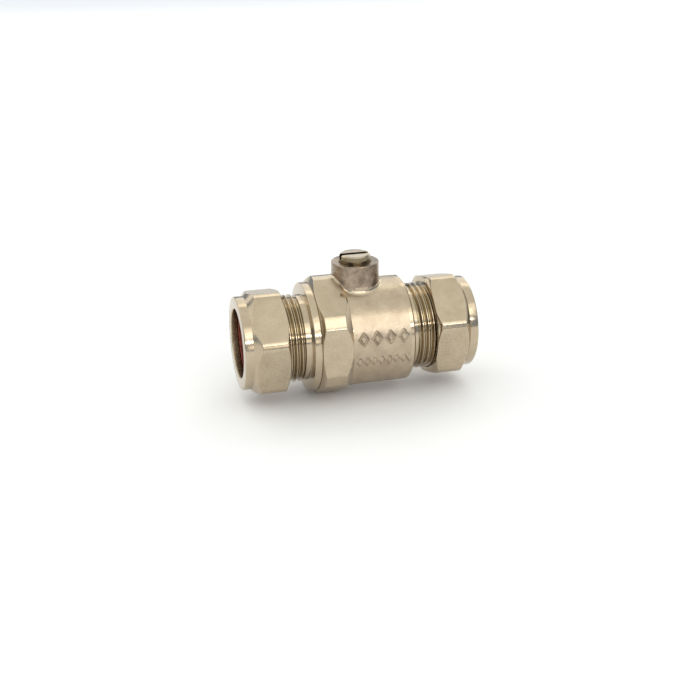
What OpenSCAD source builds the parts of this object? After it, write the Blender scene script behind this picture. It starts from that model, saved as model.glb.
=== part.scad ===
// Isolating ball valve with a screwdriver-slotted spindle and a compression end for 22 mm pipe
// at each side. Millimetres. The origin is the centre of the ball, where the pipe axis (X)
// crosses the spindle axis (Z). The separate end piece is at -X.

/* [Pipe] */
// Outside diameter of the pipe
pipe_d = 22; // [22]
// Bore of the waterway through the body and the ball
waterway_d = 18.5; // [16:0.5:19]
// Depth of each pipe socket, from its mouth to the pipe stop
socket_depth = 12.5; // [11:0.5:13]

/* [Valve body] */
// Across the flats of the hexagon on the body
body_hex_af = 36.4; // [36:0.2:38]
// Diameter that the corners of the body hexagon are turned down to
body_corner_d = 39.6; // [39:0.2:41]
// Outside diameter of the cast barrel
barrel_d = 34.6; // [34:0.2:35.2]
// X of the joint face, where the end piece meets the hexagon
joint_x = -15.4; // [-15.4]
// X of the inner end of the hexagon
hex_end_x = -5.2; // [-6:0.1:-5]
// X of the shoulder at the free end of the barrel
barrel_end_x = 15.3; // [15.3:0.1:16]
// Diameter of the spindle boss
boss_d = 15.3; // [15:0.1:16]
// Height of the spindle boss above the pipe axis
boss_top_z = 24.1; // [23.5:0.1:25]

/* [End piece] */
// Diameter of the flange that seats on the body
flange_d = 35.4; // [35:0.1:36]
// Width of the flange
flange_w = 2.4; // [2.2:0.1:2.6]

/* [Compression ends] */
// Diameter over the crests of the male compression thread
thread_d = 28.4; // [28.4]
// Pitch of the compression thread
thread_pitch = 1.814; // [1.814]
// Depth of the compression thread
thread_depth = 1.0; // [0.8:0.1:1.1]
// Length of each male end, from its mouth to its shoulder
male_len = 12.8; // [12.5:0.1:13]

/* [Compression nuts] */
// Across the flats of the compression nuts
nut_af = 31.8; // [31.6:0.1:32.2]
// Diameter that the corners of the nut are turned down to
nut_corner_d = 35.5; // [35:0.1:36]
// Diameter of the round collar on the nut
collar_d = 30.1; // [30:0.1:30.4]
// Length of the round collar
collar_len = 2.8; // [2.6:0.1:3]
// Overall length of the nut
nut_len = 14.2; // [13.8:0.1:14.6]
// Distance that the left nut's outer face stands past the left mouth
left_nut_standoff = 8.7; // [8.7:0.1:9]
// Distance that the right nut's outer face stands past the right mouth
right_nut_standoff = 9.3; // [8.7:0.1:9.4]
// Turn of the left nut's first corner above the horizontal
left_nut_angle = 13; // [0:1:59]
// Turn of the right nut's first corner above the horizontal
right_nut_angle = 15.6; // [0:0.1:59]

/* [Ball and spindle] */
// Diameter of the ball
ball_d = 26.4; // [26.4]
// Diameter of the spindle stem
stem_d = 9.88; // [9.88]
// Height of the spindle's end above the pipe axis
stem_top_z = 26.6; // [26:0.1:27]
// Width of the screwdriver slot
slot_w = 2.2; // [1.6:0.1:2.4]
// Depth of the screwdriver slot
slot_depth = 2.2; // [1.8:0.1:2.6]

/* [Hidden] */
$fn = 96;
eps = 0.01;

nickel = [0.76, 0.71, 0.60];
brass = [0.80, 0.66, 0.36];
copper = [0.66, 0.34, 0.22];
ptfe = [0.93, 0.93, 0.90];
rubber = [0.10, 0.10, 0.10];

// Pipe sockets and waterway
socket_r = pipe_d / 2 + 0.1;
waterway_r = waterway_d / 2;
mouth_r = 12.5;
mouth_cone_len = (mouth_r - socket_r) / tan(30);
left_shoulder_x = joint_x - flange_w;
left_mouth_x = left_shoulder_x - male_len;
right_mouth_x = barrel_end_x + male_len;

// Male thread, cut as rings
crest_r = thread_d / 2;
root_r = crest_r - thread_depth;
neck_len = 2.4;
neck_r = 13.9;
end_chamfer = 0.9;
thread_rings = floor((male_len - neck_len - end_chamfer) / thread_pitch);
crest_w = 0.35;

// Ball, its seats and the chamber
ball_r = ball_d / 2;
ball_slot_floor_z = 10.4;
tongue_w = 3.5;
tongue_clear = 0.04;
seat_r = 13;
seat_front_x = 7.6;
seat_back_x = 11.3;
seat_sphere_r = ball_r + 0.05;
chamber_r = 13.9;
pocket_r = seat_r + 0.05;
pocket_x = seat_back_x + 0.05;
plug_r = 15.2;
plug_bore_r = plug_r + 0.1;
chamber_x = seat_front_x - 0.1;

// Joint ring, in its groove behind the flange
joint_groove_x = [joint_x + 0.2, joint_x + 1.6];
joint_groove_r = 14.15;
joint_ring_r = 0.55;

// Spindle
stem_r = stem_d / 2;
stem_bore_r = 5;
shoulder_r = 6.4;
shoulder_z = [13.6, 15.2];
counterbore_r = 6.6;
washer_z = [15.25, 16.2];
ring_r = 0.53;
ring_groove_r = 3.9;
ring_groove_w = 1.4;
lower_ring_z = 18.6;
upper_ring_z = 21.6;
tongue_bottom_z = ball_slot_floor_z + 0.2;

// Nut and olive, measured inward from the nut's outer face
nut_hole_r = socket_r + 0.1;
nut_mouth_r = nut_hole_r + 0.25;
nut_lip = 1.95;
nut_cone_len = 1.7;
nut_bore_r = crest_r + 0.15;
nut_corner_r = nut_corner_d / 2;
collar_r = collar_d / 2;
outer_chamfer_len = 2.3;
inner_face_r = 16.1;
inner_chamfer_len = (nut_corner_r - inner_face_r) * tan(30);
olive_start = 2.45;
olive_end = 8.7;
olive_tip_r = 11.5;
olive_mid_r = 12.65;

// Turns a profile of [radius, x] points about the pipe axis
module turned(points) {
    rotate([0, 90, 0]) rotate_extrude() polygon(points);
}

// A hexagonal bar along X, with its first corner at corner_angle above the -Y direction
module hex_bar(af, x0, x1, corner_angle) {
    translate([x0, 0, 0])
        rotate([180 - corner_angle, 0, 0]) rotate([0, 90, 0]) rotate([0, 0, 90])
            linear_extrude(x1 - x0) circle(r = af / 2 / cos(30), $fn = 6);
}

// One male compression end, still solid: its mouth is at x = 0 and its shoulder at x = male_len
module male_end() {
    thread_end = male_len - neck_len;
    start = thread_end - thread_rings * thread_pitch;
    rings = [for (i = [0 : thread_rings - 1]) let (x = start + i * thread_pitch)
        each [[crest_r, x], [crest_r, x + crest_w], [root_r, x + (thread_pitch - crest_w) / 2],
              [root_r, x + (thread_pitch + crest_w) / 2], [crest_r, x + thread_pitch - eps]]];
    turned(concat([[0, 0], [root_r - 0.1, 0], [crest_r, end_chamfer]], rings,
                  [[root_r, thread_end + 0.25], [neck_r, thread_end + 0.6],
                   [neck_r, male_len + 1], [0, male_len + 1]]));
}

// The mouth cone and the pipe socket, cut from the mouth at x = 0 to the pipe stop
module socket_cut() {
    turned([[0, -eps], [mouth_r, -eps], [mouth_r, 0], [socket_r, mouth_cone_len],
            [socket_r, socket_depth], [0, socket_depth]]);
}

module valve_body() {
    color(nickel) difference() {
        union() {
            hex_section();
            turned([[0, hex_end_x - 2], [barrel_d / 2, hex_end_x - 2],
                    [barrel_d / 2, barrel_end_x - 0.5], [barrel_d / 2 - 0.5, barrel_end_x],
                    [0, barrel_end_x]]);
            rotate_extrude() polygon([[0, 0], [boss_d / 2, 0], [boss_d / 2, boss_top_z - 0.4],
                                      [boss_d / 2 - 0.4, boss_top_z], [0, boss_top_z]]);
            translate([right_mouth_x, 0, 0]) mirror([1, 0, 0]) male_end();
        }
        // Bore for the end piece, chamber, seat pocket and waterway
        turned([[0, joint_x - 1], [plug_bore_r, joint_x - 1], [plug_bore_r, -chamber_x],
                [chamber_r, -chamber_x], [chamber_r, chamber_x], [pocket_r, chamber_x],
                [pocket_r, pocket_x], [waterway_r, pocket_x],
                [waterway_r, right_mouth_x - socket_depth + 1],
                [0, right_mouth_x - socket_depth + 1]]);
        translate([right_mouth_x, 0, 0]) mirror([1, 0, 0]) socket_cut();
        // Spindle bore and the counterbore for its shoulder
        cylinder(r = stem_bore_r, h = boss_top_z + 1);
        cylinder(r = counterbore_r, h = washer_z[1]);
    }
}

// The hexagon at the joint end of the body, flat at the front and back, chamfered by turning
module hex_section() {
    difference() {
        turned([[0, joint_x], [17.9, joint_x], [body_corner_d / 2, joint_x + 1.05],
                [body_corner_d / 2, hex_end_x - 2.4], [17.9, hex_end_x - 0.15],
                [17.9, hex_end_x], [0, hex_end_x]]);
        for (i = [0 : 5]) rotate([60 * i + 30, 0, 0])
            translate([joint_x - 1, -body_hex_af, body_hex_af / 2])
                cube([hex_end_x - joint_x + 2, 2 * body_hex_af, body_hex_af]);
    }
}

module end_piece() {
    color(nickel) difference() {
        union() {
            translate([left_mouth_x, 0, 0]) male_end();
            turned([[0, left_shoulder_x], [flange_d / 2 - 0.3, left_shoulder_x],
                    [flange_d / 2, left_shoulder_x + 0.3], [flange_d / 2, joint_x - 0.15],
                    [flange_d / 2 - 0.15, joint_x], [plug_r, joint_x],
                    [plug_r, joint_groove_x[0]], [joint_groove_r, joint_groove_x[0]],
                    [joint_groove_r, joint_groove_x[1]], [plug_r, joint_groove_x[1]],
                    [plug_r, -seat_front_x - 0.5], [plug_r - 0.5, -seat_front_x],
                    [0, -seat_front_x]]);
        }
        translate([left_mouth_x, 0, 0]) socket_cut();
        turned([[0, left_mouth_x + socket_depth - 1], [waterway_r, left_mouth_x + socket_depth - 1],
                [waterway_r, -pocket_x], [pocket_r, -pocket_x], [pocket_r, 0], [0, 0]]);
    }
}

module ball() {
    color(brass) difference() {
        sphere(r = ball_r);
        turned([[0, -ball_r], [waterway_r, -ball_r], [waterway_r, ball_r], [0, ball_r]]);
        translate([-tongue_w / 2 - tongue_clear, -ball_r, ball_slot_floor_z])
            cube([tongue_w + 2 * tongue_clear, ball_d, ball_r]);
    }
}

module seat() {
    color(ptfe) difference() {
        turned([[waterway_r, seat_front_x], [seat_r, seat_front_x], [seat_r, seat_back_x],
                [waterway_r, seat_back_x]]);
        sphere(r = seat_sphere_r);
    }
}

module seat_left() {
    mirror([1, 0, 0]) seat();
}

module seat_right() {
    seat();
}

module spindle() {
    color(nickel) difference() {
        union() {
            rotate_extrude() polygon([
                [0, shoulder_z[0]], [shoulder_r, shoulder_z[0]], [shoulder_r, shoulder_z[1]],
                [stem_r, shoulder_z[1]],
                [stem_r, lower_ring_z - ring_groove_w / 2],
                [ring_groove_r, lower_ring_z - ring_groove_w / 2],
                [ring_groove_r, lower_ring_z + ring_groove_w / 2],
                [stem_r, lower_ring_z + ring_groove_w / 2],
                [stem_r, upper_ring_z - ring_groove_w / 2],
                [ring_groove_r, upper_ring_z - ring_groove_w / 2],
                [ring_groove_r, upper_ring_z + ring_groove_w / 2],
                [stem_r, upper_ring_z + ring_groove_w / 2],
                [stem_r, stem_top_z - 0.45], [stem_r - 0.45, stem_top_z], [0, stem_top_z]]);
            intersection() {
                cylinder(r = stem_r - 0.1, h = shoulder_z[0] + 0.5);
                translate([-tongue_w / 2, -stem_r, tongue_bottom_z])
                    cube([tongue_w, stem_d, shoulder_z[0] + 0.5 - tongue_bottom_z]);
            }
        }
        translate([-stem_d, -slot_w / 2, stem_top_z - slot_depth])
            cube([2 * stem_d, slot_w, slot_depth + 1]);
    }
}

module spindle_oring(z) {
    color(rubber) translate([0, 0, z]) rotate_extrude()
        translate([ring_groove_r + ring_r + 0.02, 0]) circle(r = ring_r, $fn = 32);
}

module spindle_oring_lower() {
    spindle_oring(lower_ring_z);
}

module spindle_oring_upper() {
    spindle_oring(upper_ring_z);
}

module thrust_washer() {
    color(ptfe) rotate_extrude() polygon([
        [stem_bore_r + 0.05, washer_z[0]], [counterbore_r - 0.1, washer_z[0]],
        [counterbore_r - 0.1, washer_z[1]], [stem_bore_r + 0.05, washer_z[1]]]);
}

module joint_oring() {
    color(rubber) translate([(joint_groove_x[0] + joint_groove_x[1]) / 2, 0, 0])
        rotate([0, 90, 0]) rotate_extrude()
            translate([joint_groove_r + joint_ring_r + 0.02, 0]) circle(r = joint_ring_r, $fn = 32);
}

// The olive and the nut have the nut's outer face at x = 0 and point along +X
module olive() {
    color(copper) turned([
        [socket_r, olive_start], [olive_tip_r, olive_start], [olive_mid_r, olive_start + 1.4],
        [olive_mid_r, olive_end - 3.2], [olive_tip_r, olive_end], [socket_r, olive_end]]);
}

module nut(corner_angle) {
    color(nickel) difference() {
        union() {
            turned([[0, 0], [collar_r - 0.35, 0], [collar_r, 0.35], [collar_r, collar_len + 1],
                    [0, collar_len + 1]]);
            intersection() {
                hex_bar(nut_af, collar_len, nut_len, corner_angle);
                turned([[0, collar_len], [collar_r, collar_len],
                        [nut_corner_r, collar_len + outer_chamfer_len],
                        [nut_corner_r, nut_len - inner_chamfer_len], [inner_face_r, nut_len],
                        [0, nut_len]]);
            }
        }
        turned([[0, -eps], [nut_mouth_r, -eps], [nut_hole_r, nut_mouth_r - nut_hole_r],
                [nut_hole_r, nut_lip], [nut_hole_r + nut_cone_len, nut_lip + nut_cone_len],
                [nut_bore_r, nut_lip + nut_cone_len], [nut_bore_r, nut_len + eps],
                [0, nut_len + eps]]);
    }
}

module at_left() {
    translate([left_mouth_x - left_nut_standoff, 0, 0]) children();
}

module at_right() {
    translate([right_mouth_x + right_nut_standoff, 0, 0]) mirror([1, 0, 0]) children();
}

module olive_left() {
    at_left() olive();
}

module olive_right() {
    at_right() olive();
}

module nut_left() {
    at_left() nut(left_nut_angle);
}

module nut_right() {
    at_right() nut(right_nut_angle);
}

valve_body();
end_piece();
ball();
seat_left();
seat_right();
spindle();
spindle_oring_lower();
spindle_oring_upper();
thrust_washer();
joint_oring();
olive_left();
olive_right();
nut_left();
nut_right();
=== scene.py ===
import math

import bmesh
import bpy
import numpy as np
from mathutils import Matrix, Vector


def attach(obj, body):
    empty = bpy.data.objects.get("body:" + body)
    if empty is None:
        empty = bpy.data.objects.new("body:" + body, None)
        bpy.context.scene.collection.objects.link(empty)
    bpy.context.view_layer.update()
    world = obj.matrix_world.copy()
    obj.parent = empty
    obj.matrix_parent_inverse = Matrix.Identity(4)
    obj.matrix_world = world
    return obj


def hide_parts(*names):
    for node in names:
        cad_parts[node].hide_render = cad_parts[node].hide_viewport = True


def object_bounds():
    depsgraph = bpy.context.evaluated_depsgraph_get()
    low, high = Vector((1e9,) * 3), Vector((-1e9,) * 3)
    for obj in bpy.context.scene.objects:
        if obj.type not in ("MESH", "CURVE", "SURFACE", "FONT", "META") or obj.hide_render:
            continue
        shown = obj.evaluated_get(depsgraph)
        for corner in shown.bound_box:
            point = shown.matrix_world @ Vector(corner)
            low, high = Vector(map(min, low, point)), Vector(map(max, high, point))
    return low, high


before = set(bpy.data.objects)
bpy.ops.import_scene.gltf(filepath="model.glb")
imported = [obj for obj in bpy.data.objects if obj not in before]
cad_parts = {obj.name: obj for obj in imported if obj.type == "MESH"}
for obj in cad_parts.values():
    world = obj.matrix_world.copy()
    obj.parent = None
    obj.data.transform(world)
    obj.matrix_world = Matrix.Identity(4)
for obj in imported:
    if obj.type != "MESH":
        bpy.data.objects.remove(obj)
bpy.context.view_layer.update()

# Pieces are built in millimetres in the part's own frame: X is the pipe axis, Z the spindle axis.
# Lengths are along X and radii from it, unless a comment says otherwise.
MM = 0.001
TAU = 2 * math.pi

# Valve body: the hexagon, the cast barrel and the boss, whose radius is taken from the spindle's axis
JOINT_X = -15.4
HEX_END_X = -5.2
BARREL_R = 17.3
BARREL_END_X = 15.3
BODY_FLAT_R = 18.2
BODY_CORNER_R = 19.8
BODY_STRIP_DEG = 6.8  # half the angle that a turned corner takes up
BODY_CORNER = math.radians(30)
BODY_EDGE = 0.14
STEP_R = 17.9
LEFT_CHAMFER = ((JOINT_X, 17.9), (JOINT_X + 1.05, BODY_CORNER_R))
RIGHT_CHAMFER = ((HEX_END_X - 2.4, BODY_CORNER_R), (HEX_END_X - 0.15, STEP_R))
BOSS_R = 7.65
BOSS_TOP_Z = 24.1
BOSS_FILLET = 0.9
BOSS_RIM = 0.45

# End piece and the two male ends
FLANGE_R = 17.7
FLANGE_X = -17.8
MALE_LEN = 12.8
RIGHT_MOUTH_X = BARREL_END_X + MALE_LEN
LEFT_MOUTH_X = FLANGE_X - MALE_LEN
MALE_CHAMFER = 0.9
PLUG_END_X = -7.6
PLUG_CHAMFER = 0.5

# Bores
WATERWAY_R = 9.25
SOCKET_R = 11.1
SOCKET_DEPTH = 12.5
MOUTH_R = 12.5
MOUTH_CONE = (MOUTH_R - SOCKET_R) / math.tan(math.radians(30))
POCKET_R = 13.05
POCKET_X = 11.35
CHAMBER_R = 13.9
CHAMBER_X = 7.5
PLUG_R = 15.2
PLUG_BORE_R = PLUG_R + 0.1
BORE_METAL_R = 12.9  # the bores' bare metal ends and the plated outside begins at this radius

# Compression thread
CREST_R = 14.2
ROOT_R = 13.2
PITCH = 1.814
NECK_LEN = 2.4
NECK_R = 13.9
THREAD_CLEAR = 0.15
THREAD_FLAT = 0.12  # how much of the profile's slope is taken by the flat at the root, and at the crest

# Nuts, in lengths from the outer face
NUT_LEN = 14.2
NUT_FLAT_R = 15.9
NUT_CORNER_R = 17.75
NUT_EDGE = 0.26
NUT_COLLAR_R = 15.05
NUT_COLLAR_LEN = 2.8
NUT_CONE_LEN = 2.3
NUT_FACE_R = 16.1
NUT_HOLE_R = 11.2
NUT_LIP = 1.95
NUT_CONE = 1.7
NUT_THREAD_START = 6.6
NUT_THREAD_CHAMFER = 0.2
NUT_BORE_R = CREST_R + THREAD_CLEAR
LEFT_NUT_X = LEFT_MOUTH_X - 8.7
RIGHT_NUT_X = RIGHT_MOUTH_X + 9.3
LEFT_NUT_DEG = 180 - 13
RIGHT_NUT_DEG = 180 - 15.6

# Olives, in lengths from the nut's outer face
OLIVE_START = 2.45
OLIVE_END = 8.7
OLIVE_R = 12.65
OLIVE_TIP_R = 11.5
OLIVE_OUTER_TAPER = 1.4
OLIVE_INNER_TAPER = 3.2

# Spindle and its bore, with radii from its own axis, and the ball
STEM_R = 4.94
STEM_TOP_Z = 26.6
STEM_GROOVE_R = 3.9
STEM_GROOVE_HALF = 0.7
LOWER_RING_Z = 18.6
UPPER_RING_Z = 21.6
SHOULDER_R = 6.4
SHOULDER_FROM_Z = 13.6
SHOULDER_TO_Z = 15.2
STEM_BORE_R = 5.0
COUNTERBORE_R = 6.6
COUNTERBORE_Z = 16.2
SLOT_W = 2.2
SLOT_DEPTH = 2.2
SLOT_LIP = 0.12
TONGUE_HALF = 1.75
TONGUE_FROM_Z = 10.6
TONGUE_TO_Z = 14.2
BALL_R = 13.2
BALL_SLOT_HALF = 1.79
BALL_SLOT_Z = 10.4

# O-rings and thrust washer
STEM_RING_R = 4.45
STEM_RING_WIRE = 0.53
JOINT_GROOVE_R = 14.15
JOINT_GROOVE_FROM_X = JOINT_X + 0.2
JOINT_GROOVE_TO_X = JOINT_X + 1.6
JOINT_RING_R = 14.72
JOINT_RING_WIRE = 0.55
WASHER_HOLE_R = 5.05
WASHER_R = 6.5
WASHER_FROM_Z = 15.25
WASHER_TO_Z = 16.2

# Mesh settings: points closer than WELD are one point, columns closer than COLUMN_GAP_DEG are one column,
# and edges sharper than SHARP_DEG are shaded as edges
WELD = 2e-4
COLUMN_GAP_DEG = 0.12
SHARP_DEG = 38


# ---------------------------------------------------------------- mesh helpers


def soft_min(a, b, k):
    """The smaller of a and b, with the edge between them rounded over k."""
    h = np.clip(0.5 + 0.5 * (b - a) / k, 0, 1)
    return b * (1 - h) + a * h - k * h * (1 - h)


def soft_max(a, b, k):
    """The larger of a and b, with the edge between them rounded over k."""
    return -soft_min(-a, -b, k)


def rounded(points, steps=3):
    """Rounds the corners of a profile. A point is (a, r) for a sharp corner or (a, r, fillet radius)."""
    out = []
    n = len(points)
    for i, p in enumerate(points):
        here = np.array(p[:2], float)
        fillet = p[2] if len(p) > 2 else 0
        if not fillet:
            out.append(here)
            continue
        to_last = np.array(points[i - 1][:2], float) - here
        to_next = np.array(points[(i + 1) % n][:2], float) - here
        len_last, len_next = np.linalg.norm(to_last), np.linalg.norm(to_next)
        to_last, to_next = to_last / len_last, to_next / len_next
        half = 0.5 * math.acos(np.clip(to_last @ to_next, -1, 1))
        cut = min(fillet / math.tan(half), 0.45 * len_last, 0.45 * len_next)
        start, end = here + to_last * cut, here + to_next * cut
        for s in np.linspace(0, 1, steps + 1):
            out.append((1 - s) ** 2 * start + 2 * s * (1 - s) * here + s * s * end)
    return out


def turned_rows(profile, thetas, steps=3):
    """Rows of points for a profile turned about X; a profile point is (x, r) or (x, r, fillet)."""
    rows = []
    for x, r in rounded(profile, steps):
        rows.append(np.stack([np.full_like(thetas, x), r * np.cos(thetas), r * np.sin(thetas)], 1))
    return rows


def upright(rows):
    """Turns rows made about X to stand about Z."""
    return [r[:, [1, 2, 0]] for r in rows]


def skin(rows, closed_loop, skip=None):
    """Quads between rows of points that each go once round; skip(i, j) leaves a quad out."""
    n = len(rows[0])
    verts = np.concatenate(rows)
    faces = []
    last = len(rows) if closed_loop else len(rows) - 1
    for i in range(last):
        k = (i + 1) % len(rows)
        for j in range(n):
            if skip and skip(i, j):
                continue
            m = (j + 1) % n
            faces.append((i * n + j, i * n + m, k * n + m, k * n + j))
    return verts, faces


def thread_profile(phase):
    """Radius of the male thread at a phase from 0 to 1 of one pitch, with rounded crest and root."""
    w = 1 - 2 * np.abs((phase + 0.5) % 1 - 0.5)
    t = np.clip((w - THREAD_FLAT) / (1 - 2 * THREAD_FLAT), 0, 1)
    return ROOT_R + (CREST_R - ROOT_R) * t * t * (3 - 2 * t) ** 0.5


# Rows of points through one pitch, closer together where the profile bends
THREAD_PHASES = (0, 0.06, 0.09, 0.13, 0.2, 0.28, 0.36, 0.4, 0.43, 0.46, 0.54, 0.57, 0.6, 0.64,
                 0.72, 0.8, 0.87, 0.91, 0.94)


def thread_band(x0, x1, thetas, envelope, offset=0.0, female=False):
    """Quads of a true helical thread from x0 to x1. envelope(x) caps the crests, or lifts the roots
    of a female thread, and gives the plain radius at both ends."""
    turns = [k + p for k in range(int(math.floor(x0 / PITCH)) - 1, int(math.ceil(x1 / PITCH)) + 1)
             for p in THREAD_PHASES]
    sweep = np.append(thetas, thetas[0] + TAU)
    rows = []
    for t in turns:
        x = np.clip((t + sweep / TAU) * PITCH, x0, x1)
        r = thread_profile((x / PITCH - sweep / TAU) % 1) + offset
        cap = envelope(x)
        r = np.maximum(r, cap) if female else np.minimum(r, cap)
        ends = (x <= x0 + 1e-9) | (x >= x1 - 1e-9)
        r = np.where(ends, cap, r)
        rows.append(np.stack([x, r * np.cos(sweep), r * np.sin(sweep)], 1))
    n = len(sweep)
    faces = []
    for i in range(len(rows) - 1):
        for j in range(n - 1):
            a, b = i * n + j, (i + 1) * n + j
            faces.append((a, a + 1, b + 1, b))
    return np.concatenate(rows), faces


def link_mesh(name, bm):
    """A new object in the scene from a bmesh, which is freed."""
    mesh = bpy.data.meshes.new(name)
    bm.to_mesh(mesh)
    bm.free()
    obj = bpy.data.objects.new(name, mesh)
    bpy.context.scene.collection.objects.link(obj)
    return obj


def mesh_object(name, parts):
    """One clean mesh from parts, a list of (points in mm, faces), with shared edges welded."""
    bm = bmesh.new()
    for verts, faces in parts:
        made = [bm.verts.new(v) for v in verts]
        for f in faces:
            bm.faces.new([made[i] for i in f])
    bmesh.ops.remove_doubles(bm, verts=bm.verts, dist=WELD)
    bmesh.ops.dissolve_degenerate(bm, edges=bm.edges, dist=WELD / 2)
    bmesh.ops.delete(bm, geom=[v for v in bm.verts if not v.link_faces], context="VERTS")
    bmesh.ops.recalc_face_normals(bm, faces=bm.faces)
    return link_mesh(name, bm)


def boolean(obj, tool, operation):
    """Applies tool to obj with the exact solver and removes the tool."""
    change = obj.modifiers.new("cut", "BOOLEAN")
    change.operation, change.solver, change.object = operation, "EXACT", tool
    bpy.context.view_layer.update()
    evaluated = obj.evaluated_get(bpy.context.evaluated_depsgraph_get())
    mesh = bpy.data.meshes.new_from_object(evaluated)
    obj.modifiers.clear()
    old, obj.data = obj.data, mesh
    bpy.data.meshes.remove(old)
    tool_mesh = tool.data
    bpy.data.objects.remove(tool)
    bpy.data.meshes.remove(tool_mesh)


def finished(obj, body, node, zones):
    """Gives obj its materials and smooth shading, scales it to metres and ties it to the CAD part.
    zones is [(material, test)]; test(centre, normal) picks faces, and the first match wins."""
    mesh = obj.data
    mesh.materials.clear()
    for material, _ in zones:
        mesh.materials.append(material)
    count = len(mesh.polygons)
    centres = np.empty(count * 3)
    normals = np.empty(count * 3)
    mesh.polygons.foreach_get("center", centres)
    mesh.polygons.foreach_get("normal", normals)
    centres, normals = centres.reshape(-1, 3), normals.reshape(-1, 3)
    index = np.full(count, len(zones) - 1)
    for i in range(len(zones) - 2, -1, -1):
        index = np.where(zones[i][1](centres, normals), i, index)
    mesh.polygons.foreach_set("material_index", index.astype(np.int32))
    mesh.transform(Matrix.Scale(MM, 4))
    mesh.shade_smooth()
    mesh.set_sharp_from_angle(angle=math.radians(SHARP_DEG))
    mesh.name = obj.name
    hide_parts(node)
    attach(obj, body)


def everywhere(centres, normals):
    """The test of a finish that covers all that is left."""
    return np.full(len(centres), True)


def axis_radius(points):
    """Distance from the pipe axis."""
    return np.hypot(points[:, 1], points[:, 2])


def stem_radius(points):
    """Distance from the spindle's axis."""
    return np.hypot(points[:, 0], points[:, 1])


# ---------------------------------------------------------------- materials


class Graph:
    """A material's node tree, with short names for the nodes that the finishes use."""

    def __init__(self, name):
        self.material = bpy.data.materials.new(name)
        self.material.use_nodes = True
        self.tree = self.material.node_tree
        self.tree.nodes.clear()
        out = self.tree.nodes.new("ShaderNodeOutputMaterial")
        self.shader = self.tree.nodes.new("ShaderNodeBsdfPrincipled")
        self.tree.links.new(self.shader.outputs[0], out.inputs[0])
        self.coords = self.tree.nodes.new("ShaderNodeTexCoord").outputs["Object"]

    def link(self, source, socket):
        """Feeds a socket from another node's output or sets it to a plain value."""
        if hasattr(source, "is_output"):
            self.tree.links.new(source, socket)
        else:
            socket.default_value = source

    def math(self, operation, a, b=0.0):
        node = self.tree.nodes.new("ShaderNodeMath")
        node.operation = operation
        self.link(a, node.inputs[0])
        self.link(b, node.inputs[1])
        return node.outputs[0]

    def split(self, vector):
        node = self.tree.nodes.new("ShaderNodeSeparateXYZ")
        self.link(vector, node.inputs[0])
        return node.outputs

    def join(self, x, y, z):
        node = self.tree.nodes.new("ShaderNodeCombineXYZ")
        for value, socket in zip((x, y, z), node.inputs):
            self.link(value, socket)
        return node.outputs[0]

    def noise(self, per_mm, detail=2.0, roughness=0.5, vector=None, distortion=0.0):
        """Noise from 0 to 1 with per_mm features in a millimetre."""
        node = self.tree.nodes.new("ShaderNodeTexNoise")
        self.link(vector or self.coords, node.inputs["Vector"])
        node.inputs["Scale"].default_value = per_mm / MM
        node.inputs["Detail"].default_value = detail
        node.inputs["Roughness"].default_value = roughness
        node.inputs["Distortion"].default_value = distortion
        return node.outputs["Fac"]

    def length(self, u, v):
        return self.math("SQRT", self.math("ADD", self.math("MULTIPLY", u, u), self.math("MULTIPLY", v, v)))

    def turned_vector(self, axis, wander):
        """Coordinates that change along the axis and away from it, and by wander across it, for the
        lines left by turning."""
        x, y, z = self.split(self.coords)
        along, u, v = (x, y, z) if axis == "x" else (z, x, y)
        return self.join(along, self.length(u, v), self.math("MULTIPLY", u, wander))

    def ramp(self, value, low, high, out_low=0.0, out_high=1.0):
        node = self.tree.nodes.new("ShaderNodeMapRange")
        node.clamp = True
        for source, socket in zip((value, low, high, out_low, out_high), node.inputs):
            self.link(source, socket)
        return node.outputs[0]

    def mix(self, factor, a, b):
        node = self.tree.nodes.new("ShaderNodeMix")
        node.data_type = "RGBA"
        self.link(factor, node.inputs[0])
        self.link((*a, 1.0) if isinstance(a, tuple) else a, node.inputs[6])
        self.link((*b, 1.0) if isinstance(b, tuple) else b, node.inputs[7])
        return node.outputs[2]

    def bump(self, height, strength, distance_mm, normal=None):
        node = self.tree.nodes.new("ShaderNodeBump")
        node.inputs["Strength"].default_value = strength
        node.inputs["Distance"].default_value = distance_mm * MM
        self.link(height, node.inputs["Height"])
        if normal:
            self.link(normal, node.inputs["Normal"])
        return node.outputs[0]

    def finish(self, colour, roughness, metallic, normal=None):
        self.link(colour, self.shader.inputs["Base Color"])
        self.link(roughness, self.shader.inputs["Roughness"])
        self.shader.inputs["Metallic"].default_value = metallic
        if normal:
            self.link(normal, self.shader.inputs["Normal"])
        return self.material


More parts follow.
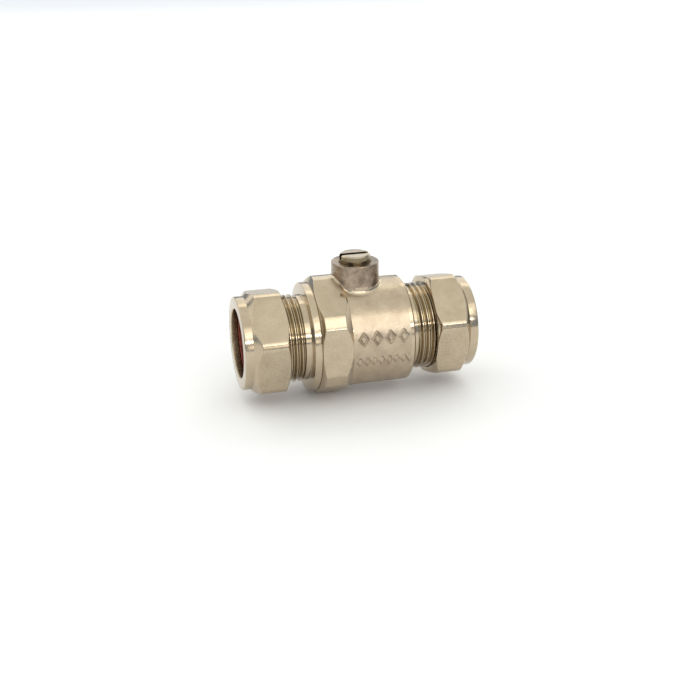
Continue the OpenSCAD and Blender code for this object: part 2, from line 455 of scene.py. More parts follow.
def plated(name, light, dark, rough, axis="x", line_strength=0.0, line_per_mm=5.0, grain_strength=0.0,
           grain_per_mm=3.0, pit_strength=0.0, groove_shade=None):
    """Plated or bare metal: cloudy tint, turning lines about an axis, a fine grain and cast pits.
    The last argument is (deep radius, shallow radius, colour) in mm, for painted shade that darkens the
    bottom of a thread."""
    g = Graph(name)
    cloud = g.noise(0.22, 4, 0.6)
    fine = g.noise(1.7, 3, 0.6)
    lines = g.noise(line_per_mm, 3, 0.7, g.turned_vector(axis, 0.02))
    colour = g.mix(g.ramp(cloud, 0.3, 0.7), light, dark)
    # Painted shade: the colour is darkened in patches towards the bottom of a thread's groove, where shade
    # falls
    if groove_shade:
        deep, shallow, painted_groove_shade = groove_shade
        _, y, z = g.split(g.coords)
        depth = g.ramp(g.length(y, z), deep * MM, shallow * MM, 1.0, 0.0)
        patchy = g.math("MULTIPLY", depth, g.ramp(fine, 0.3, 0.7, 0.75, 1.0))
        colour = g.mix(patchy, colour, painted_groove_shade)
    uneven = g.math("ADD", g.ramp(fine, 0.3, 0.7, -0.05, 0.05), g.ramp(lines, 0.3, 0.7, -0.04, 0.04))
    normal = None
    if line_strength:
        normal = g.bump(lines, line_strength, 0.03)
    if grain_strength:
        grain = g.noise(grain_per_mm, 3, 0.65)
        normal = g.bump(grain, grain_strength, 0.08, normal)
    if pit_strength:
        pits = g.ramp(g.noise(grain_per_mm * 0.35, 4, 0.6, distortion=0.4), 0.35, 0.6)
        normal = g.bump(pits, pit_strength, 0.12, normal)
    return g.finish(colour, g.math("ADD", uneven, rough), 1.0, normal)


def dull(name, light, dark, rough, per_mm, strength):
    """A plastic or rubber with a cloudy tone and a fine moulded texture."""
    g = Graph(name)
    colour = g.mix(g.ramp(g.noise(0.4, 4, 0.6), 0.3, 0.7), light, dark)
    texture = g.noise(per_mm, 4, 0.6)
    normal = g.bump(texture, strength, 0.04)
    return g.finish(colour, g.ramp(texture, 0.3, 0.7, rough - 0.06, rough + 0.06), 0.0, normal)


NICKEL_LIGHT = (0.545, 0.455, 0.335)
NICKEL_DARK = (0.465, 0.38, 0.27)

nickel_satin = plated("nickel_satin", NICKEL_LIGHT, NICKEL_DARK, 0.27, line_strength=0.03,
                      grain_strength=0.03, grain_per_mm=0.45)
nickel_turned = plated("nickel_turned", NICKEL_LIGHT, NICKEL_DARK, 0.16, line_strength=0.18)
# The thread's grooves are darkened towards their bottom with a brown painted shade
nickel_thread = plated("nickel_thread", NICKEL_LIGHT, NICKEL_DARK, 0.14, line_strength=0.08,
                       groove_shade=(13.3, 13.9, (0.30, 0.24, 0.15)))
nickel_cast = plated("nickel_cast", NICKEL_LIGHT, (0.43, 0.34, 0.25), 0.32, grain_strength=0.32,
                     grain_per_mm=1.3, pit_strength=0.25)
nickel_boss = plated("nickel_boss", (0.46, 0.36, 0.27), (0.13, 0.10, 0.075), 0.28, axis="z",
                     grain_strength=0.35, grain_per_mm=1.5, pit_strength=0.25)
spindle_metal = plated("spindle_metal", (0.52, 0.45, 0.35), (0.42, 0.35, 0.26), 0.22, axis="z",
                       line_strength=0.3)
# A darker copy of the spindle's metal for its sides: painted shade for the dark surroundings that the sides
# reflect
spindle_side_painted_shade = plated("spindle_side_painted_shade", (0.27, 0.22, 0.14), (0.18, 0.145, 0.09), 0.14, axis="z",
                      line_strength=0.2)
bore_metal = plated("bore_metal", (0.56, 0.47, 0.33), (0.44, 0.36, 0.24), 0.28, line_strength=0.3)
olive_copper = plated("olive_copper", (0.42, 0.13, 0.09), (0.28, 0.08, 0.055), 0.3, line_strength=0.3)
ball_chrome = plated("ball_chrome", (0.80, 0.80, 0.80), (0.72, 0.72, 0.73), 0.12, line_strength=0.08)
seat_ptfe = dull("seat_ptfe", (0.86, 0.86, 0.83), (0.78, 0.78, 0.75), 0.45, 3.0, 0.2)
ring_rubber = dull("ring_rubber", (0.025, 0.025, 0.026), (0.015, 0.015, 0.016), 0.55, 4.0, 0.3)


# ---------------------------------------------------------------- hexagons

# Rows of points on both sides of each curved edge that turning leaves on a hexagon
CREASE_STEPS = (-0.28, -0.14, -0.05, 0.05, 0.14, 0.28)


def hex_columns(first_deg, strip_half_deg, extra=()):
    """Angles round a hexagonal bar, closer together at the edges of its turned corners."""
    edge = (-2.0, -1.2, -0.5, 0.0, 0.5, 1.2, 2.0)
    sector = [-strip_half_deg + e for e in edge] + [0.0] + [strip_half_deg + e for e in edge]
    flat_from, flat_to = strip_half_deg + edge[-1], 60 - strip_half_deg - edge[-1]
    sector += list(np.linspace(flat_from, flat_to, 20)[1:-1])
    angles = {round((first_deg + 60 * k + a) % 360, 4) for k in range(6) for a in sector}
    angles |= {round(a % 360, 4) for a in extra}
    kept = []
    for a in sorted(angles):
        if not kept or a - kept[-1] > COLUMN_GAP_DEG:
            kept.append(a)
    return np.radians(np.array(kept))


def hex_radius(thetas, flat_r, first):
    """Distance from the axis to a hexagonal bar's flats, with a corner at the angle first."""
    off = (thetas - first + math.pi / 6) % (math.pi / 3) - math.pi / 6
    return flat_r / np.cos(math.pi / 6 - np.abs(off))


def at_radius(x, r, thetas):
    """A row of points round the pipe axis, each at its own x and radius."""
    x = np.broadcast_to(x, thetas.shape)
    return np.stack([x, r * np.cos(thetas), r * np.sin(thetas)], 1)


# ---------------------------------------------------------------- valve body

RELIEF_HEIGHT = 0.55
RELIEF_SLOPE = 0.36

# Each row of diamonds: height of its middle up the barrel, half height, half width, half the width of the
# raised line and the places of the diamonds
RELIEF_ROWS = ((3.4, 2.6, 2.0, 0.45, (-2.0, 2.4, 6.8, 11.2)),
               (-4.2, 2.1, 1.1, 3.0, (-3.2, -0.8, 1.6, 4.0, 6.4, 8.8, 11.2, 13.2)))

# Rows of points along the hexagon's flats, closer together under the boss, and over its step to the barrel
HEX_ROWS_X = (-13.4, -12.2, -11.0, -10.2, -9.6, -9.0, -8.4)
STEP_ROWS = (-0.15, -0.09, -0.04, 0.0, 0.04, 0.1, 0.2)

# Places along X that are averaged to smooth the hexagon's step out under the boss's fillet
SMOOTH_STEPS = (-1.0, -0.6, -0.2, 0.2, 0.6, 1.0)


def relief(x, thetas):
    """Height of two rows of plain diamonds cast on the front of the barrel, the upper ones hollow."""
    up = (math.pi - thetas % TAU) * BARREL_R
    height = np.zeros(np.broadcast(x, thetas).shape)
    for middle, half_tall, half_wide, ridge, places in RELIEF_ROWS:
        narrow = half_tall * half_wide / math.hypot(half_tall, half_wide)
        for place in places:
            out = (np.abs(x - place) / half_wide + np.abs(up - middle) / half_tall - 1) * narrow
            inside = ridge - np.abs(out + ridge)
            height = np.maximum(height, np.clip(inside / RELIEF_SLOPE, 0, 1))
    return RELIEF_HEIGHT * height * height * (3 - 2 * height)


def body_radius(x, thetas):
    """Radius of the body's outside without its boss: the hexagon, its chamfers and the barrel."""
    flats = hex_radius(thetas, BODY_FLAT_R, BODY_CORNER)
    profile = (*LEFT_CHAMFER, *RIGHT_CHAMFER, (HEX_END_X - 0.03, STEP_R),
               (HEX_END_X + 0.03, BARREL_R - 0.2))
    hexagon = soft_min(flats, np.interp(x, *np.transpose(profile)), BODY_EDGE)
    barrel = np.where(x > RIGHT_CHAMFER[0][0], BARREL_R, 0.0) + relief(x, thetas)
    return soft_max(hexagon, barrel, 0.12)


def body_outer_rows(thetas):
    """Rows of the body's outside from the joint face to the barrel's end, following each crease."""
    flats = hex_radius(thetas, BODY_FLAT_R, BODY_CORNER)
    reach = np.minimum(flats, BODY_CORNER_R)
    (xa, ra), (xb, rb) = LEFT_CHAMFER
    crease_a = xa + (reach - ra) / (rb - ra) * (xb - xa)
    (xc, rc), (xd, rd) = RIGHT_CHAMFER
    crease_b = xc + (reach - rc) / (rd - rc) * (xd - xc)
    xs = [np.full_like(thetas, JOINT_X + s) for s in (0.02, 0.08)]
    xs += [np.maximum(crease_a + s, JOINT_X + 0.1) for s in CREASE_STEPS]
    xs += [np.full_like(thetas, x) for x in HEX_ROWS_X]
    xs += [np.minimum(crease_b + s, HEX_END_X - 0.2) for s in CREASE_STEPS]
    xs += [np.full_like(thetas, HEX_END_X + s) for s in STEP_ROWS]
    xs += [np.full_like(thetas, x) for x in np.arange(HEX_END_X + 0.4, BARREL_END_X - 0.55, 0.24)]
    return [at_radius(x, body_radius(x, thetas), thetas) for x in xs], xs


def boss_patch(rows, row_from, row_to, col_from, col_to):
    """The surface from the edge of the gap left round the boss to the boss's wall and over its top.
    Its rings are spaced evenly in x and in the angle round the barrel, so that none folds over another."""
    border = [rows[row_from][j] for j in range(col_from, col_to)]
    border += [rows[i][col_to] for i in range(row_from, row_to)]
    border += [rows[row_to][j] for j in range(col_to, col_from, -1)]
    border += [rows[i][col_from] for i in range(row_to, row_from, -1)]
    border = np.array(border)
    border_x, border_turn = border[:, 0], np.arctan2(border[:, 2], border[:, 1])
    towards = np.arctan2(BARREL_R * (math.pi / 2 - border_turn), border_x)

    def surface_z(x, y):
        """Height of the body's outside over (x, y), found by closing in on it."""
        z = np.sqrt(BARREL_R ** 2 - y ** 2)
        for _ in range(30):
            z = np.sqrt(body_radius(x, np.arctan2(z, y)) ** 2 - y ** 2)
        return z

    rings = [border]
    fillet_r = BOSS_R + BOSS_FILLET
    foot_x, foot_y = fillet_r * np.cos(towards), fillet_r * np.sin(towards)
    foot_turn = np.arctan2(surface_z(foot_x, foot_y), foot_y)
    for s in np.linspace(0, 1, 15)[1:]:
        x = border_x + (foot_x - border_x) * s
        turn = border_turn + (foot_turn - border_turn) * s
        rings.append(at_radius(x, body_radius(x, turn), turn))
    for s in np.linspace(0, 1, 10)[1:]:
        turn = s * math.pi / 2
        r = fillet_r - BOSS_FILLET * math.sin(turn)
        x, y = r * np.cos(towards), r * np.sin(towards)
        even = sum(surface_z(x + step, y) for step in SMOOTH_STEPS) / len(SMOOTH_STEPS)
        below = surface_z(x, y) * (1 - s) + even * s
        rings.append(np.stack([x, y, below + BOSS_FILLET * (1 - math.cos(turn))], 1))
    foot = rings[-1]
    wall_top = BOSS_TOP_Z - BOSS_RIM
    for s in np.linspace(0, 1, 9)[1:]:
        ring = foot.copy()
        ring[:, 2] += (wall_top - foot[:, 2]) * s
        rings.append(ring)
    rim = rounded([(wall_top, BOSS_R), (BOSS_TOP_Z, BOSS_R, 0.4), (BOSS_TOP_Z, 6.0)], 4)[1:]
    for z, r in rim + [(BOSS_TOP_Z, 4.0)]:
        rings.append(np.stack([r * np.cos(towards), r * np.sin(towards), np.full_like(towards, z)], 1))
    verts, faces = skin(rings, False)
    n = len(border)
    faces.append(tuple(range((len(rings) - 1) * n, len(rings) * n)))
    return verts, faces


def male_envelope(mouth_x, shoulder_x):
    """How far out the thread may stand: cut back by the chamfer at the mouth and next to the neck."""
    inward = 1 if shoulder_x > mouth_x else -1

    def envelope(x):
        from_mouth = (x - mouth_x) * inward
        chamfer = ROOT_R - 0.1 + from_mouth * (CREST_R - ROOT_R + 0.1) / MALE_CHAMFER
        runout = ROOT_R + np.maximum(MALE_LEN - NECK_LEN - from_mouth, 0) * 2.5
        return np.minimum(np.minimum(chamfer, runout), CREST_R + 0.01)

    return envelope


def male_outside(mouth_x, shoulder_x, thetas):
    """The thread, from just inside the mouth's edge to the plain neck."""
    inward = 1 if shoulder_x > mouth_x else -1
    thread_from, thread_to = mouth_x + 0.1 * inward, shoulder_x - NECK_LEN * inward
    lo, hi = min(thread_from, thread_to), max(thread_from, thread_to)
    return thread_band(lo, hi, thetas, male_envelope(mouth_x, shoulder_x))


def build_valve_body():
    # Extra columns of points, in degrees, over the cast relief and round the boss
    front = np.arange(154, 208, 0.85)
    top = np.arange(52, 129, 2.0)
    thetas = hex_columns(30, BODY_STRIP_DEG, tuple(front) + tuple(top))
    outer, xs = body_outer_rows(thetas)

    # The gap round the boss, in rows and columns of the outer surface
    reach = BOSS_R + BOSS_FILLET + 0.5
    x_mid = np.array([float(x[np.argmin(np.abs(thetas - math.pi / 2))]) for x in xs])
    row_from = int(np.max(np.where(x_mid <= -reach)[0]))
    row_to = int(np.min(np.where(x_mid >= reach)[0]))
    half = math.asin((reach + 0.3) / BARREL_R)
    col_from = int(np.max(np.where(thetas <= math.pi / 2 - half)[0]))
    col_to = int(np.min(np.where(thetas >= math.pi / 2 + half)[0]))

    def in_gap(i, j):
        return row_from <= i < row_to and col_from <= j < col_to

    shoulder_in = [(BARREL_END_X - 0.5, BARREL_R), (BARREL_END_X - 0.02, BARREL_R - 0.48, 0.15),
                   (BARREL_END_X, NECK_R, 0.15), (BARREL_END_X + NECK_LEN - 0.5, NECK_R, 0.05),
                   (BARREL_END_X + NECK_LEN - 0.25, ROOT_R, 0.08), (BARREL_END_X + NECK_LEN, ROOT_R)]
    shoulder = turned_rows(shoulder_in, thetas)
    outside = skin(outer + shoulder, False, in_gap)

    thread = male_outside(RIGHT_MOUTH_X, BARREL_END_X, thetas)
    mouth_edge = float(male_envelope(RIGHT_MOUTH_X, BARREL_END_X)(np.array(RIGHT_MOUTH_X - 0.1)))
    inner = turned_rows([
        (RIGHT_MOUTH_X - 0.1, mouth_edge), (RIGHT_MOUTH_X, mouth_edge - 0.1, 0.05),
        (RIGHT_MOUTH_X, MOUTH_R, 0.08), (RIGHT_MOUTH_X - MOUTH_CONE, SOCKET_R, 0.1),
        (RIGHT_MOUTH_X - SOCKET_DEPTH, SOCKET_R, 0.15), (RIGHT_MOUTH_X - SOCKET_DEPTH, WATERWAY_R, 0.2),
        (POCKET_X, WATERWAY_R, 0.1), (POCKET_X, POCKET_R, 0.1), (CHAMBER_X, POCKET_R, 0.1),
        (CHAMBER_X, CHAMBER_R, 0.3), (-CHAMBER_X, CHAMBER_R, 0.1), (-CHAMBER_X, PLUG_BORE_R, 0.1),
        (JOINT_X, PLUG_BORE_R, 0.3), (JOINT_X, LEFT_CHAMFER[0][1] - 0.15, 0.1),
        (JOINT_X + 0.02, float(outer[0][0, 1] / math.cos(thetas[0])))], thetas)
    body = mesh_object("valve_body_look", [
        outside, thread, skin(inner, False), boss_patch(outer, row_from, row_to, col_from, col_to)])
    bore_angles = np.linspace(0, TAU, 96, endpoint=False)
    bore_from_z, bore_to_z = 6.0, BOSS_TOP_Z + 0.65
    bore = turned_rows([
        (bore_from_z, 0.0), (bore_from_z, COUNTERBORE_R), (COUNTERBORE_Z, COUNTERBORE_R, 0.1),
        (COUNTERBORE_Z, STEM_BORE_R, 0.1), (BOSS_TOP_Z - 0.35, STEM_BORE_R, 0.1),
        (bore_to_z, STEM_BORE_R + 1), (bore_to_z, 0.0)], bore_angles)
    tool = mesh_object("bore_tool", [skin(upright(bore), False)])
    boolean(body, tool, "DIFFERENCE")
    return body


def on_boss(c, n):
    r = stem_radius(c)
    return (r < BOSS_R + 0.05) & (c[:, 2] > 17.0) & (r > STEM_BORE_R + 0.3)


def on_boss_fillet(c, n):
    r = stem_radius(c)
    return (r < BOSS_R + BOSS_FILLET) & (c[:, 2] > 15) & (r > BOSS_R + 0.04)


def in_body_bores(c, n):
    """Inside the socket, and inside the wider chamber and plug bore between the body's two shoulders."""
    wide = (np.abs(c[:, 0]) < -JOINT_X - 0.01) * (c[:, 0] < BARREL_END_X - 0.1)
    return axis_radius(c) < BORE_METAL_R + 2.5 * wide


def on_body_flats(c, n):
    flats = hex_radius(np.arctan2(c[:, 2], c[:, 1]), BODY_FLAT_R, BODY_CORNER)
    return (c[:, 0] < HEX_END_X - 0.2) & (np.abs(axis_radius(c) - flats) < 0.08) & (axis_radius(c) > 17)


finished(build_valve_body(), "body", "valve_body", [
    (nickel_boss, on_boss),
    (nickel_turned, on_boss_fillet),
    (bore_metal, in_body_bores),
    (nickel_thread, lambda c, n: c[:, 0] > BARREL_END_X + 0.05),
    (nickel_satin, on_body_flats),
    (nickel_turned, lambda c, n: (c[:, 0] < HEX_END_X + 0.05) | (c[:, 0] > BARREL_END_X - 1.6)),
    (nickel_cast, everywhere)])


# ---------------------------------------------------------------- end piece


def build_end_piece():
    thetas = np.radians(np.arange(0, 360, 2.0))
    thread = male_outside(LEFT_MOUTH_X, FLANGE_X, thetas)
    mouth_edge = float(male_envelope(LEFT_MOUTH_X, FLANGE_X)(np.array(LEFT_MOUTH_X + 0.1)))
    rest = turned_rows([
        (FLANGE_X - NECK_LEN, ROOT_R), (FLANGE_X - NECK_LEN + 0.25, ROOT_R, 0.08),
        (FLANGE_X - NECK_LEN + 0.5, NECK_R, 0.05), (FLANGE_X, NECK_R, 0.15), (FLANGE_X, FLANGE_R, 0.35),
        (JOINT_X, FLANGE_R, 0.2), (JOINT_X, PLUG_R, 0.08), (JOINT_GROOVE_FROM_X, PLUG_R, 0.05),
        (JOINT_GROOVE_FROM_X, JOINT_GROOVE_R, 0.1), (JOINT_GROOVE_TO_X, JOINT_GROOVE_R, 0.1),
        (JOINT_GROOVE_TO_X, PLUG_R, 0.05), (PLUG_END_X - PLUG_CHAMFER, PLUG_R, 0.1),
        (PLUG_END_X, PLUG_R - PLUG_CHAMFER, 0.1), (PLUG_END_X, POCKET_R, 0.1), (-POCKET_X, POCKET_R, 0.1),
        (-POCKET_X, WATERWAY_R, 0.1), (LEFT_MOUTH_X + SOCKET_DEPTH, WATERWAY_R, 0.2),
        (LEFT_MOUTH_X + SOCKET_DEPTH, SOCKET_R, 0.15), (LEFT_MOUTH_X + MOUTH_CONE, SOCKET_R, 0.1),
        (LEFT_MOUTH_X, MOUTH_R, 0.08), (LEFT_MOUTH_X, mouth_edge - 0.1, 0.05),
        (LEFT_MOUTH_X + 0.1, mouth_edge)], thetas)
    return mesh_object("end_piece_look", [thread, skin(rest, False)])


finished(build_end_piece(), "body", "end_piece", [
    (bore_metal, lambda c, n: (axis_radius(c) < BORE_METAL_R) | (c[:, 0] > JOINT_X + 0.01)),
    (nickel_thread, lambda c, n: (c[:, 0] < FLANGE_X - 0.05) & (axis_radius(c) > BORE_METAL_R)),
    (nickel_turned, everywhere)])


# ---------------------------------------------------------------- nuts


def build_nut(name, first_deg, place, side):
    """A nut with its outer face at x = place and the rest of it towards side (+1 or -1)."""
    strip_half = 30 - math.degrees(math.acos(NUT_FLAT_R / NUT_CORNER_R))
    thetas = hex_columns(first_deg, strip_half)
    first = math.radians(first_deg)
    cone_end = NUT_COLLAR_LEN + NUT_CONE_LEN
    inner_start = NUT_LEN - (NUT_CORNER_R - NUT_FACE_R) * math.tan(math.radians(30))
    turn_x = [NUT_COLLAR_LEN, cone_end, inner_start, NUT_LEN]
    turn_r = [NUT_COLLAR_R, NUT_CORNER_R, NUT_CORNER_R, NUT_FACE_R]
    flats = hex_radius(thetas, NUT_FLAT_R, first)
    reach = np.minimum(flats, NUT_CORNER_R)
    crease_a = turn_x[0] + (reach - turn_r[0]) / (turn_r[1] - turn_r[0]) * (turn_x[1] - turn_x[0])
    crease_b = turn_x[2] + (reach - turn_r[2]) / (turn_r[3] - turn_r[2]) * (turn_x[3] - turn_x[2])

    def row(t):
        r = soft_min(flats, np.interp(t, turn_x, turn_r), NUT_EDGE)
        return at_radius(place + side * np.broadcast_to(t, thetas.shape), r, thetas)

    def turned(points):
        return turned_rows([(place + side * p[0], *p[1:]) for p in points], thetas)

    rows = turned([(0, NUT_HOLE_R + 0.6), (0, NUT_COLLAR_R, 0.4), (NUT_COLLAR_LEN, NUT_COLLAR_R)])
    rows += [row(t) for t in (NUT_COLLAR_LEN + 0.05, NUT_COLLAR_LEN + 0.15)]
    rows += [row(np.maximum(crease_a + s, NUT_COLLAR_LEN + 0.2)) for s in CREASE_STEPS]
    rows += [row(t) for t in np.linspace(6.0, 12.4, 7)]
    rows += [row(np.minimum(crease_b + s, NUT_LEN - 0.08)) for s in CREASE_STEPS]
    rim = soft_min(flats, NUT_FACE_R + 0.05, NUT_EDGE)
    rows += [at_radius(place + side * (NUT_LEN - back), rim - inset, thetas)
             for back, inset in ((0.06, 0.0), (0.02, 0.02), (0.0, 0.06))]
    thread_end = NUT_LEN - NUT_THREAD_CHAMFER
    rows += turned([(NUT_LEN, NUT_BORE_R + NUT_THREAD_CHAMFER), (thread_end, NUT_BORE_R)])

    def lifted(x):
        """The least radius of the female thread, cut back at its entry and at its blind end."""
        t = (x - place) * side
        entry = NUT_BORE_R - np.maximum(thread_end - t, 0) * 1.6
        blind = NUT_BORE_R - np.maximum(t - NUT_THREAD_START, 0) * 1.6
        return np.maximum(np.maximum(entry, blind), ROOT_R + THREAD_CLEAR - 0.01)

    ends = sorted((place + side * NUT_THREAD_START, place + side * thread_end))
    thread = thread_band(*ends, thetas, lifted, THREAD_CLEAR, True)
    inside = turned([(NUT_THREAD_START, NUT_BORE_R), (NUT_LIP + NUT_CONE, NUT_BORE_R, 0.15),
                     (NUT_LIP + NUT_CONE, NUT_HOLE_R + NUT_CONE, 0.1), (NUT_LIP, NUT_HOLE_R, 0.1),
                     (0.25, NUT_HOLE_R, 0.05), (0, NUT_HOLE_R + 0.25, 0.05), (0, NUT_HOLE_R + 0.6)])
    return mesh_object(name, [skin(rows, False), thread, skin(inside, False)])


def finish_nut(node, first_deg, place, side):
    def on_flats(c, n):
        flats = hex_radius(np.arctan2(c[:, 2], c[:, 1]), NUT_FLAT_R, math.radians(first_deg))
        return (np.abs(axis_radius(c) - flats) < 0.1) & (np.abs(n[:, 0]) < 0.3)

    def in_bore(c, n):
        return (axis_radius(c) < NUT_BORE_R + 0.01) & (np.abs(c[:, 0] - place) > 0.02)

    finished(build_nut(node + "_look", first_deg, place, side), node.split("_")[1] + "_nut", node, [
        (nickel_satin, on_flats), (bore_metal, in_bore), (nickel_turned, everywhere)])


finish_nut("nut_left", LEFT_NUT_DEG, LEFT_NUT_X, 1)
finish_nut("nut_right", RIGHT_NUT_DEG, RIGHT_NUT_X, -1)


# ---------------------------------------------------------------- olives


def build_olive(name, place, side):
    """The olive of the nut whose outer face is at x = place."""
    thetas = np.radians(np.arange(0, 360, 2.5))
    widest_from, widest_to = OLIVE_START + OLIVE_OUTER_TAPER, OLIVE_END - OLIVE_INNER_TAPER
    profile = [(OLIVE_START, SOCKET_R, 0.15), (OLIVE_START, OLIVE_TIP_R, 0.15), (widest_from, OLIVE_R, 0.3),
               (widest_to, OLIVE_R, 0.3), (OLIVE_END, OLIVE_TIP_R, 0.15), (OLIVE_END, SOCKET_R, 0.15)]
    rows = turned_rows([(place + side * p[0], *p[1:]) for p in profile], thetas, 4)
    return mesh_object(name, [skin(rows, True)])


for node, place, side in (("olive_left", LEFT_NUT_X, 1), ("olive_right", RIGHT_NUT_X, -1)):
    finished(build_olive(node + "_look", place, side), node.split("_")[1] + "_olive", node,
             [(olive_copper, everywhere)])


# ---------------------------------------------------------------- ball, seats and washer


def rounded_box(name, lo, hi, bevel):
    """A box between the corners lo and hi with rounded edges, used to cut or to join."""
    bm = bmesh.new()
    bmesh.ops.create_cube(bm, size=1)
    lo, hi = Vector(lo), Vector(hi)
    for v in bm.verts:
        v.co = Vector((lo[i] + (v.co[i] + 0.5) * (hi[i] - lo[i]) for i in range(3)))
    bmesh.ops.bevel(bm, geom=bm.edges, offset=bevel, segments=3, profile=0.5, affect="EDGES")
    return link_mesh(name, bm)


def build_ball():
    thetas = np.radians(np.arange(0, 360, 2.5))
    end = math.acos(WATERWAY_R / BALL_R)
    arc = [(BALL_R * math.sin(a), BALL_R * math.cos(a))
           for a in np.linspace(-end + 0.02, end - 0.02, 56)]
    lip = BALL_R * math.sin(end) - 0.3
    rows = turned_rows([(-lip, WATERWAY_R), *arc, (lip, WATERWAY_R), (lip / 2, WATERWAY_R), (0, WATERWAY_R),
                        (-lip / 2, WATERWAY_R)], thetas)
    ball = mesh_object("ball_look", [skin(rows, True)])
    slot = rounded_box("slot_tool", (-BALL_SLOT_HALF, -BALL_R - 1, BALL_SLOT_Z),
                       (BALL_SLOT_HALF, BALL_R + 1, BALL_R + 2), 0.25)
    boolean(ball, slot, "DIFFERENCE")
    return ball


finished(build_ball(), "ball", "ball", [(ball_chrome, everywhere)])


def build_seat(name, side):
    """A seat ring on the left (-1) or right (+1) of the ball, turned to the ball's radius on its face."""
    thetas = np.radians(np.arange(0, 360, 2.5))
    back_x, front_x, seat_r, sphere_r = 11.3, 7.6, 13.0, 13.25
    angle_from = math.asin(front_x / sphere_r)
    angle_to = math.acos((WATERWAY_R + 0.05) / sphere_r)
    face = [(sphere_r * math.sin(a), sphere_r * math.cos(a)) for a in np.linspace(angle_to, angle_from, 14)]
    profile = [(back_x, WATERWAY_R, 0.15), *face, (front_x, seat_r, 0.2), (back_x, seat_r, 0.2)]
    rows = turned_rows([(side * p[0], *p[1:]) for p in profile], thetas)
    return mesh_object(name, [skin(rows, True)])


finished(build_seat("seat_left_look", -1), "body", "seat_left", [(seat_ptfe, everywhere)])
finished(build_seat("seat_right_look", 1), "body", "seat_right", [(seat_ptfe, everywhere)])

washer_angles = np.linspace(0, TAU, 96, endpoint=False)
washer_rows = turned_rows([
    (WASHER_FROM_Z, WASHER_HOLE_R, 0.1), (WASHER_FROM_Z, WASHER_R, 0.15), (WASHER_TO_Z, WASHER_R, 0.15),
    (WASHER_TO_Z, WASHER_HOLE_R, 0.1)], washer_angles)
finished(mesh_object("thrust_washer_look", [skin(upright(washer_rows), True)]), "body",
         "thrust_washer", [(seat_ptfe, everywhere)])


# ---------------------------------------------------------------- spindle


def build_spindle():
    thetas = np.linspace(0, TAU, 120, endpoint=False)
    profile = [(SHOULDER_FROM_Z, 0.0), (SHOULDER_FROM_Z, SHOULDER_R, 0.2),
               (SHOULDER_TO_Z, SHOULDER_R, 0.2), (SHOULDER_TO_Z, STEM_R, 0.1)]
    for z in (LOWER_RING_Z, UPPER_RING_Z):
        from_z, to_z = z - STEM_GROOVE_HALF, z + STEM_GROOVE_HALF
        profile += [(from_z, STEM_R, 0.08), (from_z, STEM_GROOVE_R, 0.1), (to_z, STEM_GROOVE_R, 0.1),
                    (to_z, STEM_R, 0.08)]
    chamfer = 0.45
    profile += [(STEM_TOP_Z - 1.6, STEM_R), (STEM_TOP_Z - chamfer, STEM_R, 0.12),
                (STEM_TOP_Z, STEM_R - chamfer, 0.2), (STEM_TOP_Z, 1.5), (STEM_TOP_Z, 0.0)]
    spindle = mesh_object("spindle_look", [skin(upright(turned_rows(profile, thetas, 4)), False)])
    tongue = rounded_box("tongue_tool", (-TONGUE_HALF, -STEM_R + 0.35, TONGUE_FROM_Z),
                         (TONGUE_HALF, STEM_R - 0.35, TONGUE_TO_Z), 0.2)
    boolean(spindle, tongue, "UNION")

    # The screwdriver slot's section across the pipe, with rounded bottom corners and a chamfered lip
    half, floor_z = SLOT_W / 2, STEM_TOP_Z - SLOT_DEPTH
    section = [(-half + 0.2, floor_z), (-half + 0.06, floor_z + 0.06), (-half, floor_z + 0.2),
               (-half, STEM_TOP_Z - SLOT_LIP), (-half - SLOT_LIP, STEM_TOP_Z),
               (-half - SLOT_LIP - 1, STEM_TOP_Z + 1)]
    section += [(-y, z) for y, z in reversed(section)]
    ends = [[(x, y, z) for y, z in section] for x in (-8.0, 8.0)]
    n = len(section)
    sides = [(i, (i + 1) % n, n + (i + 1) % n, n + i) for i in range(n)]
    caps = [tuple(range(n)), tuple(range(n, 2 * n))]
    slot = mesh_object("slot_tool", [(np.array(ends[0] + ends[1]), sides + caps)])
    boolean(spindle, slot, "DIFFERENCE")
    return spindle


# The spindle's upright sides take the darker copy of its metal as painted shade; the top keeps the lighter
# metal
finished(build_spindle(), "spindle", "spindle", [
    (spindle_side_painted_shade, lambda c, n: np.abs(n[:, 2]) < 0.6),
    (spindle_metal, everywhere)])


# ---------------------------------------------------------------- O-rings


def build_ring(name, axis, place, middle_r, ring_r):
    """An O-ring about the pipe axis or the spindle's axis."""
    thetas = np.linspace(0, TAU, 96, endpoint=False)
    section = [(place + ring_r * math.cos(a), middle_r + ring_r * math.sin(a))
               for a in np.linspace(0, TAU, 20, endpoint=False)]
    rows = turned_rows(section, thetas)
    return mesh_object(name, [skin(upright(rows) if axis == "z" else rows, True)])


for node, z in (("spindle_oring_lower", LOWER_RING_Z), ("spindle_oring_upper", UPPER_RING_Z)):
    finished(build_ring(node + "_look", "z", z, STEM_RING_R, STEM_RING_WIRE), "spindle", node,
             [(ring_rubber, everywhere)])
joint_ring_x = (JOINT_GROOVE_FROM_X + JOINT_GROOVE_TO_X) / 2
finished(build_ring("joint_oring_look", "x", joint_ring_x, JOINT_RING_R, JOINT_RING_WIRE),
         "body", "joint_oring", [(ring_rubber, everywhere)])


# ---------------------------------------------------------------- floor, light and camera

# Distances in this section are in metres
FLOOR_REACH = 6.0
GLOW = 0.6
GLOW_RISE = (1.1, 2.2)
GLOW_FALL = (2.4, 4.5)


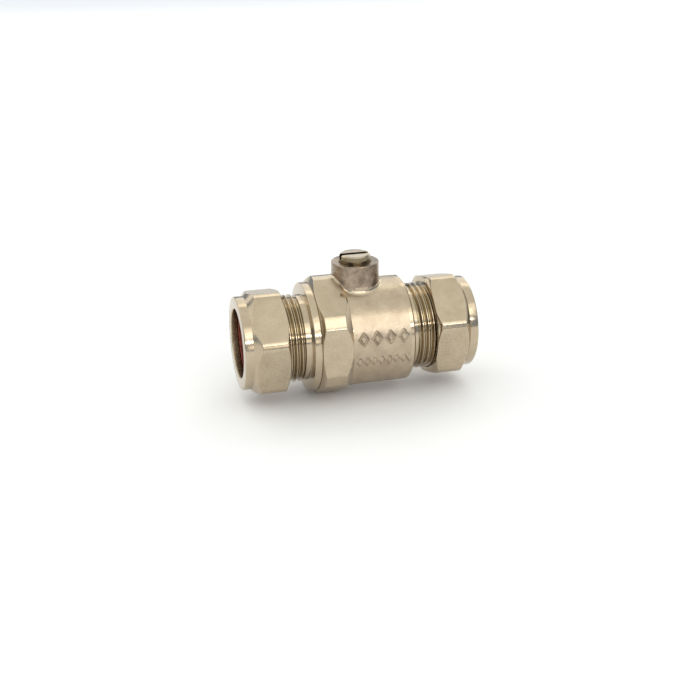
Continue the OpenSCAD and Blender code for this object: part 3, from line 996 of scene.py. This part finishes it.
def build_floor():
    lo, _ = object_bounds()
    bm = bmesh.new()
    bmesh.ops.create_grid(bm, x_segments=8, y_segments=8, size=FLOOR_REACH)
    floor = link_mesh("floor", bm)
    floor.location.z = lo.z
    g = Graph("floor_paper")
    colour = g.mix(g.ramp(g.noise(0.02, 4, 0.6), 0.3, 0.7), (0.93, 0.93, 0.94), (0.915, 0.915, 0.93))
    floor.data.materials.append(g.finish(colour, 0.75, 0.0, g.bump(g.noise(1.5, 3, 0.6), 0.05, 0.05)))
    g.shader.inputs["Specular IOR Level"].default_value = 0.1

    # Past the softboxes' reach the floor glows like a lit backdrop, so that it stays pale behind the valve
    x, y, _ = g.split(g.coords)
    away = g.length(x, y)
    glow = g.math("MULTIPLY", g.ramp(away, *GLOW_RISE, 0.0, GLOW), g.ramp(away, *GLOW_FALL, 1.0, 0.0))
    g.shader.inputs["Emission Color"].default_value = (1.0, 0.99, 0.96, 1.0)
    g.link(glow, g.shader.inputs["Emission Strength"])


def direction(azimuth, elevation):
    """Unit vector towards an azimuth, 0 in front of the object at -Y and 90 at +X, and an elevation."""
    a, e = math.radians(azimuth), math.radians(elevation)
    return Vector((math.sin(a) * math.cos(e), -math.cos(a) * math.cos(e), math.sin(e)))


def softbox(name, azimuth, elevation, distance, width, height, radiance, tint):
    """A rectangular soft light that faces the object, as bright as radiance where it is reflected."""
    light = bpy.data.lights.new(name, "AREA")
    light.shape, light.size, light.size_y = "RECTANGLE", width, height
    light.energy, light.color = radiance * math.pi * width * height, tint
    lamp = bpy.data.objects.new(name, light)
    bpy.context.scene.collection.objects.link(lamp)
    away = direction(azimuth, elevation)
    lamp.location = away * distance
    lamp.rotation_euler = away.to_track_quat("Z", "Y").to_euler()


# Name, azimuth, elevation, distance, width, height, radiance and tint
SOFTBOXES = (
    ("front", 14, 40, 1.25, 1.3, 0.70, 0.75, (1.0, 0.97, 0.88)),
    ("front_core", 14, 37, 1.2, 0.75, 0.30, 1.5, (1.0, 0.97, 0.88)),
    ("strip", 2, 21, 1.15, 1.1, 0.07, 9.0, (1.0, 0.98, 0.95)),
    ("low", 9, 8, 1.2, 0.42, 0.16, 1.6, (1.0, 0.90, 0.72)),
    ("top", 0, 86, 1.3, 2.8, 2.4, 0.68, (1.0, 0.95, 0.78)),
    ("back", 175, 38, 1.5, 2.8, 1.3, 1.1, (1.0, 0.97, 0.88)),
    ("left", -100, 26, 1.3, 1.5, 0.9, 0.82, (1.0, 0.96, 0.84)),
    ("right", 118, 10, 1.4, 1.6, 0.7, 0.8, (1.0, 0.94, 0.82)),
)
build_floor()
for row in SOFTBOXES:
    softbox(*row)

WORLD_COLOUR = (0.78, 0.89, 1.05, 1.0)
WORLD_STRENGTH = 0.42
world = bpy.data.worlds.new("studio")
bpy.context.scene.world = world
world.use_nodes = True
background = world.node_tree.nodes["Background"]
background.inputs[0].default_value = WORLD_COLOUR
background.inputs[1].default_value = WORLD_STRENGTH

# The camera that was fitted to the photograph
CAMERA_AZIMUTH = -15.58
CAMERA_ELEVATION = 20.5
CAMERA_DISTANCE = 0.36935
CAMERA_AIM = Vector((-2.371, -1.713, -5.791)) * MM
CAMERA_ROLL = math.radians(-0.571)
CAMERA_SENSOR_MM = 36
CAMERA_LENS_MM = 57.83

camera_data = bpy.data.cameras.new("camera")
camera_data.sensor_width = CAMERA_SENSOR_MM
camera_data.lens = CAMERA_LENS_MM
camera_data.clip_start = 0.01
camera = bpy.data.objects.new("camera", camera_data)
bpy.context.scene.collection.objects.link(camera)
camera.location = direction(CAMERA_AZIMUTH, CAMERA_ELEVATION) * CAMERA_DISTANCE
facing = (camera.location - CAMERA_AIM).to_track_quat("Z", "Y").to_matrix()
camera.rotation_euler = (facing @ Matrix.Rotation(CAMERA_ROLL, 3, "Z")).to_euler()
bpy.context.scene.camera = camera
bpy.context.scene.view_settings.view_transform = "Standard"
